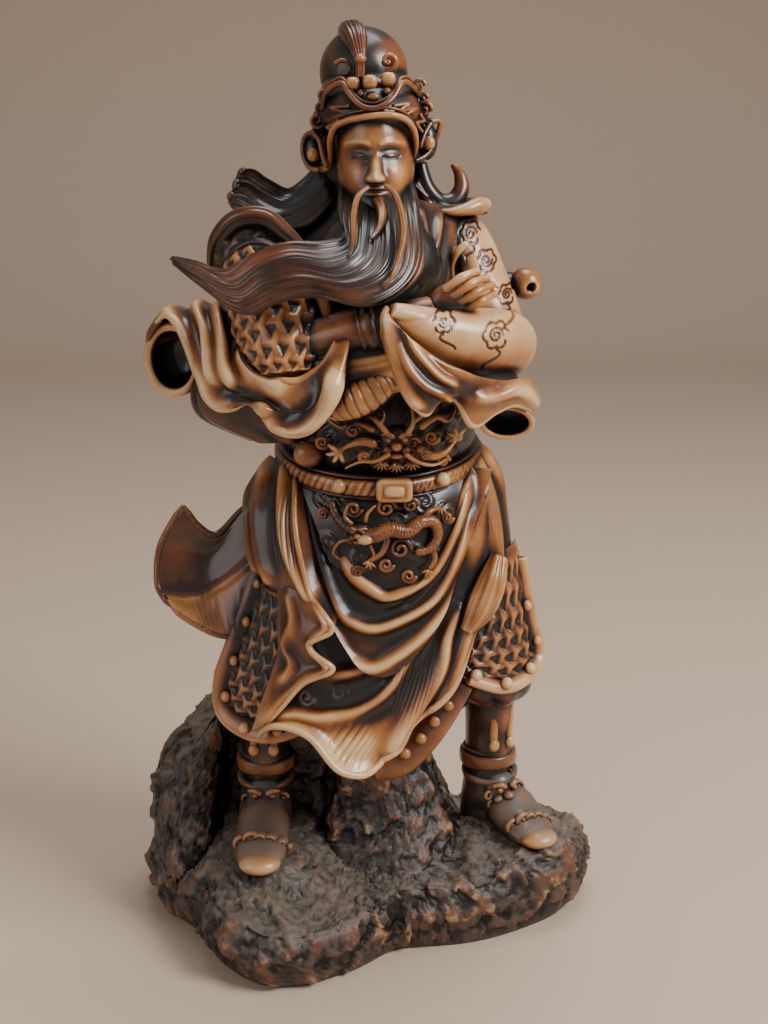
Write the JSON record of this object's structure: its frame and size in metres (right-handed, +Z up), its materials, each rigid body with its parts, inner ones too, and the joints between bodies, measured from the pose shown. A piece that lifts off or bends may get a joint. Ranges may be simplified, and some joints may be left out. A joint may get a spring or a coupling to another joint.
{
  "type": "guan yu statue",
  "caption": "Standing bearded warrior with folded arms in armour and flowing robes, cast as one with a rough rock base.",
  "frame": {"origin": "flat underside of the rock base, below the middle of the standing figure", "axes": "+Z up, along the figure; -Y towards the viewer, the way the figure faces; +X to the viewer's right"},
  "size_m": [0.2455, 0.1746, 0.474],
  "materials": {
    "aged_resin": "glossy aged resin, brown with amber high spots and dark hollows"
  },
  "bodies": {
    "root": {"statue": "aged_resin"}
  },
  "joints": []
}
